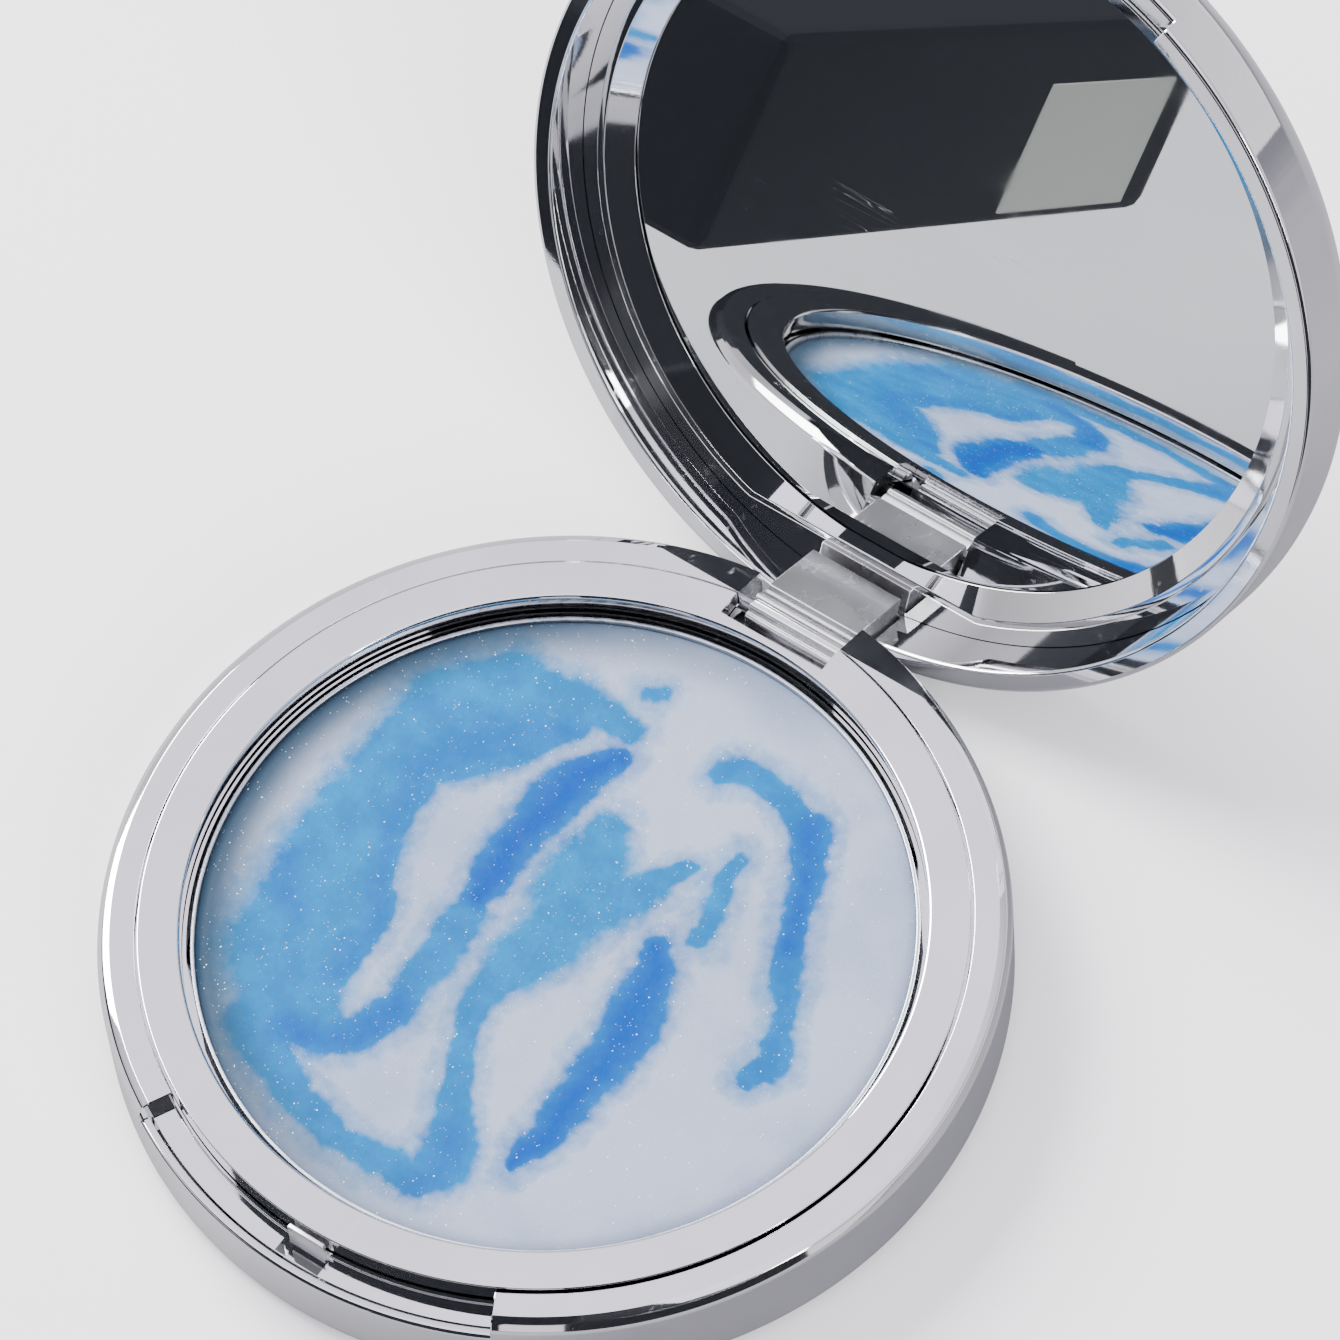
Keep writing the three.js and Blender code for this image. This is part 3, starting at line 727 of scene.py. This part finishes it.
def make_jelly():
    """A fine round grid for the surface, a plain wall and floor, and the swirls on its points."""
    radius = PAN_RADIUS - PAN_WALL - 0.02
    columns = 420
    rings = 118
    flat = [(0.0, 0.0)]
    for ring in range(1, rings + 1):
        reach = radius * ring / rings
        flat += [(reach * cos(2 * pi * c / columns), reach * sin(2 * pi * c / columns))
                 for c in range(columns)]
    pushed = np.array(flat) + np.array([wander(x, y) for x, y in flat])
    strength, blueness = swirl_fields(pushed)

    verts = [(x * MM, y * MM, jelly_height(x, y, radius) * MM) for x, y in flat]
    faces = round_grid_faces(columns, rings)
    skirt = len(verts)
    rim = skirt - columns
    bottom_z = (PAN_FLOOR_Z + PAN_WALL + GLUE_GAP) * MM
    verts += [(x, y, bottom_z) for x, y, _ in verts[rim:]]
    for c in range(columns):
        after = (c + 1) % columns
        faces.append([rim + c, skirt + c, skirt + after, rim + after])
    faces.append([skirt + c for c in reversed(range(columns))])

    mesh = bpy.data.meshes.new("jelly_fill")
    mesh.from_pydata(verts, [], faces)
    finish_shading(mesh, 50)
    for label, values in (("swirl", strength), ("depth", blueness)):
        attribute = mesh.attributes.new(label, "FLOAT", "POINT")
        full = np.zeros(len(verts))
        full[:len(values)] = values
        attribute.data.foreach_set("value", full)
    return settle(link("jelly_fill", mesh), JELLY, "base", "jelly", "highlighter_fill")


def make_front_catch():
    """A lug that stands in front of the ring on a short tail under it."""
    low, high = CATCH_TAIL_Z
    outline = [(CATCH_FRONT_Y, low), (CATCH_TAIL_BACK_Y, low), (CATCH_TAIL_BACK_Y, high),
               (CATCH_NOSE_BACK_Y, high), (CATCH_NOSE_BACK_Y, CATCH_NOSE_Z),
               (CATCH_FRONT_Y + 0.05, CATCH_NOSE_Z), (CATCH_FRONT_Y, CATCH_NOSE_Z - 0.5)]
    catch = prism_along_x("front_catch_lug", outline, across_catch(), 0.08)
    return settle(catch, SATIN, "base", "plated_satin", "front_catch")


# ---- lid ---------------------------------------------------------------------------------------


def make_lid_shell():
    """A turned cup with a rounded back edge, its rim cut back in the thumb notch."""
    ceiling_z = LID_BACK_Z - LID_BACK_THICKNESS
    inside = [(0, ceiling_z), (LEDGE_RADIUS, ceiling_z), (LEDGE_RADIUS, LEDGE_Z),
              (LID_INNER, LEDGE_Z)]
    outside = [(LID_RADIUS, LID_BACK_Z, LID_EDGE_ROUND), (20.0, LID_BACK_Z), (0, LID_BACK_Z)]
    rim = [(LID_INNER, RIM_Z, 0.3), (LID_RADIUS, RIM_Z, 0.45)]
    notch_z = RIM_Z + LID_NOTCH_DEPTH
    notch = [(LID_INNER, notch_z, 0.3), (LID_RADIUS, notch_z, 0.45)]
    full = rounded(inside + rim + outside, 10)
    low = rounded(inside + notch + outside, 10)
    shell = turned_with_notch("lid_shell_plated", full, low, LID_NOTCH_HALF, closed=False)
    half = TONGUE_HALF_WIDTH + FIT_GAP
    cut(shell, block("slot", (-half, half), (TONGUE_INNER_Y - 0.5, 40), (8, BEAD_Z + FIT_GAP)))
    return settle(opened(shell), CHROME, "lid", "plated_shell", "lid_shell")


def frame_outline(angle):
    """Section of the mirror frame; next to the hinge its bead runs straight, not round."""
    bead = BEAD_RADIUS
    if sin(angle) > FRAME_FLAT_Y / BEAD_RADIUS:
        bead = FRAME_FLAT_Y / sin(angle)
    opening = min(GLASS_OPENING, bead - BEAD_WIDTH - 0.1)
    outer = LID_INNER - 0.06
    pocket = GLASS_RADIUS + FIT_GAP
    return rounded([
        (opening, GLASS_Z - GLASS_LIP, 0.06), (bead - BEAD_WIDTH, BEAD_Z, 0.2),
        (bead, BEAD_Z, 0.2), (bead, FLANGE_Z), (outer, FLANGE_Z),
        (outer, LEDGE_Z - GLUE_GAP), (pocket, LEDGE_Z - GLUE_GAP),
        (pocket, GLASS_Z - GLUE_GAP), (opening, GLASS_Z - GLUE_GAP),
    ])


def make_mirror_frame():
    """The beaded ring that holds the glass, open where the hinge plate passes through it."""
    angles = even_angles(360)
    outlines = [frame_outline(angle) for angle in angles]
    ring = turned("mirror_frame_plated", lambda column: outlines[column], angles, closed=True)
    half = TONGUE_HALF_WIDTH + FIT_GAP
    slot_y = (TONGUE_INNER_Y - FIT_GAP, 38)
    cut(ring, block("slot", (-half, half), slot_y, (RIM_Z, BEAD_Z + FIT_GAP)))
    return settle(opened(ring), CHROME, "lid", "plated_shell", "mirror_frame")


def make_mirror():
    """A round glass with ground edges."""
    outline = [(0, GLASS_Z), (GLASS_RADIUS, GLASS_Z, 0.15),
               (GLASS_RADIUS, GLASS_Z + GLASS_THICKNESS, 0.1), (0, GLASS_Z + GLASS_THICKNESS)]
    piece = turned_plain("mirror_disc", rounded(outline), closed=False)
    return settle(opened(piece), GLASS, "lid", "mirror_glass", "mirror")


def make_hinge_tongue():
    """One outline: the flat plate, then round the barrel with three ribs on its inner side."""
    outline = [(TONGUE_INNER_Y, BEAD_Z), (TONGUE_INNER_Y, TONGUE_TOP_Z)]
    for degree in range(150, 336, 3):
        rib = sum(max(0.0, 1.0 - (abs(degree - middle) / RIB_HALF_ANGLE_DEG) ** 2)
                  for middle in RIB_ANGLES_DEG)
        reach = KNUCKLE_RADIUS + RIB_HEIGHT * sqrt(rib)
        angle = radians(degree)
        outline.append((HINGE_Y + reach * cos(angle), HINGE_Z + reach * sin(angle)))
    outline += [(TONGUE_OUTER_Y, HINGE_Z), (TONGUE_OUTER_Y, BEAD_Z)]
    width = (-TONGUE_HALF_WIDTH, TONGUE_HALF_WIDTH)
    tongue = prism_along_x("hinge_tongue_satin", outline, width, 0.1, 24)
    return settle(opened(tongue), SATIN, "lid", "plated_satin", "hinge_tongue")


def make_lid_hook():
    """A thin springy tab with a rounded tip, close to the lid's wall."""
    front = HOOK_GAP - LID_INNER
    back = front + HOOK_THICKNESS
    outline = rounded([(front, HOOK_TIP_Z, 0.14), (back, HOOK_TIP_Z, 0.14), (back, BEAD_Z),
                       (front, BEAD_Z)])
    hook = prism_along_x("lid_hook_satin", outline, across_catch(), 0.06)
    return settle(opened(hook), SATIN, "lid", "plated_satin", "lid_hook")


make_base_shell()
make_base_plate()
make_pan_ring()
make_pan()
make_jelly()
make_front_catch()
make_lid_shell()
make_mirror_frame()
make_mirror()
make_hinge_tongue()
make_lid_hook()
recolour("hinge_pin", STEEL)
recolour("pan_pad", FOAM)
recolour("mirror_pad", FOAM)

# ---- stage, light and camera -------------------------------------------------------------------


def flat_sheet(name, z, material):
    """A large level sheet, a little below the compact."""
    reach = 6.0
    corners = [(-reach, -reach, 0), (reach, -reach, 0), (reach, reach, 0), (-reach, reach, 0)]
    mesh = bpy.data.meshes.new(name)
    mesh.from_pydata(corners, [], [(0, 1, 2, 3)])
    mesh.materials.append(material)
    sheet = link(name, mesh)
    sheet.location.z = z * MM
    return sheet


def make_floor():
    """The table, and a darker copy with painted light and shade that stands in for it in reflections.
    """
    floor = flat_sheet("floor", -0.2, pale_floor())
    floor.visible_glossy = False
    reflection_only(flat_sheet("painted_light_table", -0.1, painted_light_table()))


def card_material(name, shade):
    """Matt card with a faint unevenness."""
    n = Nodes(name)
    n.wire(n.mix(n.noise(8.0), shade, tuple(c * 1.3 for c in shade)), n.shader.inputs["Base Color"])
    n.set(Roughness=0.9, Specular_IOR_Level=0.1)
    return n.material


def painted_light_table():
    """Painted light and shade for what the plating sees as a floor: lighter at the left, falling off
    into shade to the right.
    """
    n = Nodes("painted_light_table")
    axes = n.node("SeparateXYZ")
    n.wire(n.place, axes.inputs["Vector"])
    right = n.remap(axes.outputs["X"], -45 * MM, 45 * MM, 0.0, 1.0)
    # painted light and shade: lighter at the left, darker towards the right
    shade = n.mix(right, (0.36, 0.36, 0.375), (0.16, 0.16, 0.17))
    n.wire(n.mix(n.noise(9.0), shade, (0.24, 0.24, 0.25)), n.shader.inputs["Base Color"])
    n.set(Roughness=0.9, Specular_IOR_Level=0.1)
    return n.material


def reflection_only(piece):
    """Makes a piece of the studio that shows only in what the bright surfaces reflect."""
    piece.visible_camera = False
    piece.visible_diffuse = False
    piece.visible_shadow = False


def reflected_card(name, x_range, y_range, z_range, material, bevel=1):
    card = block(name, x_range, y_range, z_range, bevel)
    card.data.materials.append(material)
    reflection_only(card)


def make_cards():
    """A dark box with a painted window reflection on its side beside the compact, and black felt in
    front and overhead.
    """
    box_card = card_material("dark_card", (0.006, 0.007, 0.009))
    reflected_card("dark_box", (-260, -57.5), (-148, -34), (0.2, 24), box_card, 2)
    # painted reflection: a lighter pane on the dark box's side stands in for a window reflected there
    pane_reflection = card_material("painted_window_reflection", (0.13, 0.135, 0.125))
    reflected_card("painted_window_reflection", (-57.6, -57.2), (-140, -106), (2, 17), pane_reflection, 0.1)
    felt = card_material("dark_felt", (0.008, 0.009, 0.011))
    reflected_card("far_card", (-700, -10), (-420, -400), (0.2, 260), felt)
    reflected_card("near_card", (5, 50), (-112, -108), (0.2, 120), felt)
    reflected_card("right_card", (78, 700), (-112, -108), (0.2, 520), felt)
    reflected_card("dark_ceiling", (-450, 900), (-900, -120), (600, 604), felt)


def soft_light(name, place, size, power, colour):
    """A rectangular lamp, in metres and watts, turned towards the compact."""
    data = bpy.data.lights.new(name, "AREA")
    data.shape = "RECTANGLE"
    data.size, data.size_y = size
    data.energy = power
    data.color = colour
    lamp = bpy.data.objects.new(name, data)
    bpy.context.scene.collection.objects.link(lamp)
    lamp.location = place
    aim = Vector((0, 20, 0)) * MM
    lamp.rotation_euler = (aim - Vector(place)).to_track_quat("-Z", "Y").to_euler()


def make_world():
    """A soft sky: fairly bright low down, dimmer half way up and brightest overhead."""
    world = bpy.data.worlds.new("studio")
    bpy.context.scene.world = world
    world.use_nodes = True
    tree = world.node_tree
    background = tree.nodes["Background"]
    direction = tree.nodes.new("ShaderNodeTexCoord")
    parts = tree.nodes.new("ShaderNodeSeparateXYZ")
    ramp = tree.nodes.new("ShaderNodeValToRGB")
    tree.links.new(direction.outputs["Generated"], parts.inputs["Vector"])
    tree.links.new(parts.outputs["Z"], ramp.inputs["Fac"])
    tree.links.new(ramp.outputs["Color"], background.inputs["Color"])
    low, high = ramp.color_ramp.elements
    low.position = 0.10
    low.color = (1.15, 1.12, 1.20, 1.0)
    high.position = 0.95
    high.color = (1.75, 1.70, 1.95, 1.0)
    middle = ramp.color_ramp.elements.new(0.55)
    middle.color = (0.62, 0.61, 0.66, 1.0)
    background.inputs["Strength"].default_value = 1.0


def make_camera():
    """A long lens from the front right, looking down at the open compact."""
    azimuth, elevation, roll = radians(40.5), radians(58.4), radians(-6.0)
    distance = 675 * MM
    target = Vector((-5.65, 24.6, BASE_HEIGHT)) * MM
    back = Vector((sin(azimuth) * cos(elevation), -cos(azimuth) * cos(elevation), sin(elevation)))
    level = Vector((cos(azimuth), sin(azimuth), 0))
    upright = back.cross(level)
    right = level * cos(roll) + upright * sin(roll)
    up = upright * cos(roll) - level * sin(roll)
    data = bpy.data.cameras.new("camera")
    data.lens = 216.8
    data.sensor_width = 36.0
    data.clip_end = 10
    camera = bpy.data.objects.new("camera", data)
    bpy.context.scene.collection.objects.link(camera)
    turn = Matrix((right, up, back)).transposed().to_4x4()
    camera.matrix_world = Matrix.Translation(target + back * distance) @ turn
    bpy.context.scene.camera = camera


make_floor()
make_cards()
make_world()
soft_light("key", (-0.62, 0.1, 0.55), (0.5, 0.5), 20, (1.0, 1.0, 1.0))
soft_light("fill", (0.7, -0.3, 0.6), (0.5, 0.4), 10, (0.97, 0.98, 1.0))
make_camera()
